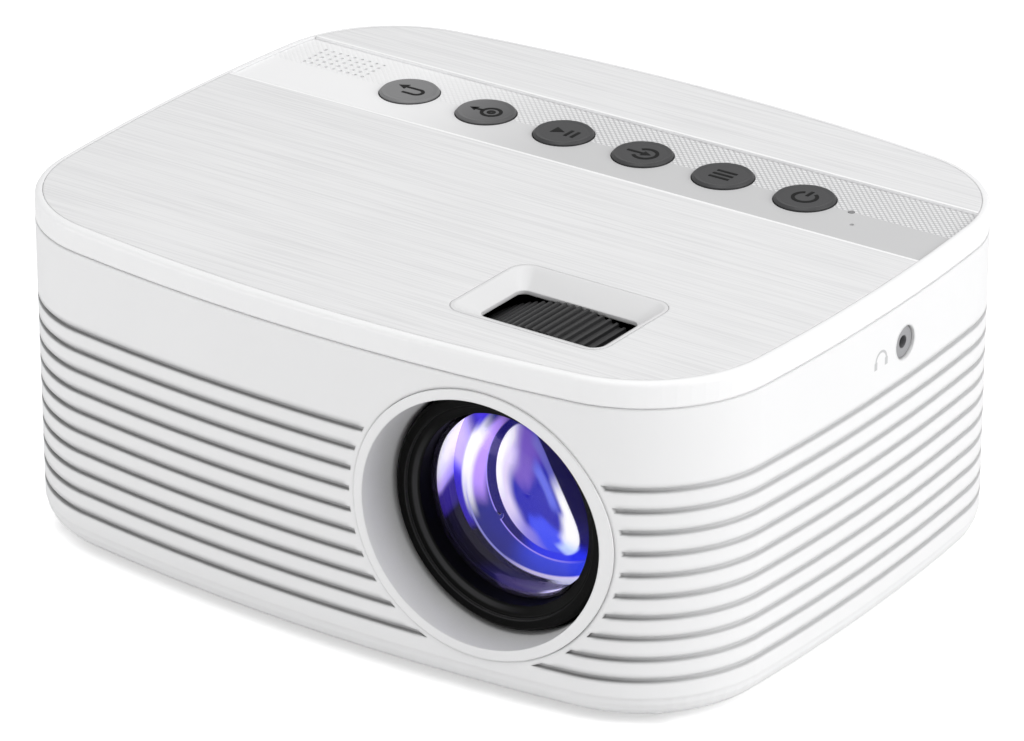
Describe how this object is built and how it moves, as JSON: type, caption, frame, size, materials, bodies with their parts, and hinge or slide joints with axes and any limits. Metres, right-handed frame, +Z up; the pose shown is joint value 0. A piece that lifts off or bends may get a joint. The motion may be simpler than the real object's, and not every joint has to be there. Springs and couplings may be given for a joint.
{
  "type": "projector with built-in disc player",
  "caption": "Compact home projector with a ribbed white case, recessed lens, focus wheel window, keys along the top and a slim disc tray that slides out of one side.",
  "frame": {"origin": "middle of the footprint, on the plane that the rubber feet stand on", "axes": "+Z up, the lens looks towards -Y, +X is the side with the headphone socket"},
  "size_m": [0.236, 0.1883, 0.1002],
  "materials": {
    "white_case": "fine satin",
    "white_trim": "smooth",
    "brushed_white": "brushed along the width",
    "strip_grey": "fine dotted texture",
    "key_grey": "satin",
    "lens_black": "satin black",
    "coated_glass": "purple and blue coating",
    "clear_glass": "clear",
    "mirror_glass": "front silvered",
    "rubber_black": "matt",
    "black_plastic": "matt",
    "sheet_steel": "zinc plated sheet",
    "screw_steel": "plain steel",
    "sink_aluminium": "extruded",
    "insert_brass": "turned",
    "board_green": "solder mask",
    "tray_grey": "moulded",
    "lamp_yellow": "phosphor"
  },
  "bodies": {
    "housing": {"lower_case": "white_case", "lid": "white_trim", "front_top_plate": "brushed_white", "rear_top_plate": "brushed_white", "control_strip": "strip_grey", "focus_window_trim": "white_trim", "lens_collar": "white_trim", "rubber_feet": "rubber_black", "case_screws": "screw_steel", "tripod_insert": "insert_brass", "key_board": "board_green", "status_light": "clear_glass", "chassis_plate": "sheet_steel", "light_box": "black_plastic", "light_box_cover": "black_plastic", "led_module": "lamp_yellow", "heat_sink": "sink_aluminium", "condenser_lens": "clear_glass", "heat_glass": "clear_glass", "collimating_lens": "clear_glass", "picture_panel": "lens_black", "field_lens": "clear_glass", "fold_mirror": "mirror_glass", "lens_barrel": "lens_black", "ring_retainer": "lens_black", "fan_frame": "black_plastic", "main_board": "board_green", "rear_sockets": "sheet_steel", "power_inlet": "black_plastic", "power_board": "board_green", "audio_jack": "black_plastic", "audio_board": "board_green", "speaker": "black_plastic", "drive_case": "sheet_steel"},
    "focus_dial": {"focus_ring": "lens_black"},
    "focus_cell": {"lens_cell": "lens_black", "lens_spacer": "lens_black", "front_lens": "coated_glass", "middle_lens": "coated_glass", "rear_lens": "coated_glass"},
    "fan_wheel": {"fan_rotor": "black_plastic"},
    "tray": {"disc_tray": "tray_grey", "tray_bezel": "white_case", "spindle_motor": "screw_steel", "sled_rods": "screw_steel", "sled_motor": "screw_steel"},
    "rails": {"tray_rails": "screw_steel"},
    "eject": {"eject_button": "white_trim"},
    "turntable": {"disc_hub": "black_plastic"},
    "sled": {"pickup_sled": "tray_grey", "pickup_lens": "clear_glass"},
    "screw_shaft": {"lead_screw": "screw_steel"},
    "key_1": {"key_1": "key_grey"},
    "key_2": {"key_2": "key_grey"},
    "key_3": {"key_3": "key_grey"},
    "key_4": {"key_4": "key_grey"},
    "key_5": {"key_5": "key_grey"},
    "key_6": {"key_6": "key_grey"}
  },
  "joints": [
    {"name": "key_1_press", "type": "slide", "parent": "housing", "child": "key_1", "axis": [0, 0, -1], "range_m": [0, 0.0008], "stiffness_N_per_m": 400},
    {"name": "key_2_press", "type": "slide", "parent": "housing", "child": "key_2", "axis": [0, 0, -1], "range_m": [0, 0.0008], "stiffness_N_per_m": 400},
    {"name": "key_3_press", "type": "slide", "parent": "housing", "child": "key_3", "axis": [0, 0, -1], "range_m": [0, 0.0008], "stiffness_N_per_m": 400},
    {"name": "key_4_press", "type": "slide", "parent": "housing", "child": "key_4", "axis": [0, 0, -1], "range_m": [0, 0.0008], "stiffness_N_per_m": 400},
    {"name": "key_5_press", "type": "slide", "parent": "housing", "child": "key_5", "axis": [0, 0, -1], "range_m": [0, 0.0008], "stiffness_N_per_m": 400},
    {"name": "key_6_press", "type": "slide", "parent": "housing", "child": "key_6", "axis": [0, 0, -1], "range_m": [0, 0.0008], "stiffness_N_per_m": 400},
    {"name": "focus_turn", "type": "hinge", "parent": "housing", "child": "focus_dial", "pos_m": [0.054, -0.055, 0.051], "axis": [0, 1, 0], "range_deg": [-90, 90]},
    {"name": "focus_shift", "type": "slide", "parent": "housing", "child": "focus_cell", "axis": [0, 1, 0], "range_m": [-0.004, 0.004]},
    {"name": "fan_spin", "type": "hinge", "parent": "housing", "child": "fan_wheel", "pos_m": [-0.0996, 0.035, 0.051], "axis": [1, 0, 0], "continuous": true},
    {"name": "tray_slide", "type": "slide", "parent": "housing", "child": "tray", "axis": [-1, 0, 0], "range_m": [0, 0.13]},
    {"name": "rail_slide", "type": "slide", "parent": "housing", "child": "rails", "axis": [-1, 0, 0], "range_m": [0, 0.065]},
    {"name": "eject_press", "type": "slide", "parent": "tray", "child": "eject", "axis": [1, 0, 0], "range_m": [0, 0.0008], "stiffness_N_per_m": 300},
    {"name": "disc_spin", "type": "hinge", "parent": "tray", "child": "turntable", "pos_m": [-0.053, 0, 0.01795], "axis": [0, 0, 1], "continuous": true},
    {"name": "sled_slide", "type": "slide", "parent": "tray", "child": "sled", "axis": [1, 0, 0], "range_m": [0, 0.034]},
    {"name": "lead_turn", "type": "hinge", "parent": "tray", "child": "screw_shaft", "pos_m": [-0.0346, 0.024, 0.01505], "axis": [1, 0, 0], "range_deg": [0, 4081]}
  ],
  "couplings": [
    {"joint": "focus_shift", "follows": "focus_turn", "m_per_rad": 0.0025465},
    {"joint": "rail_slide", "follows": "tray_slide", "ratio": 0.5},
    {"joint": "lead_turn", "follows": "sled_slide", "rad_per_m": 2094.4}
  ]
}
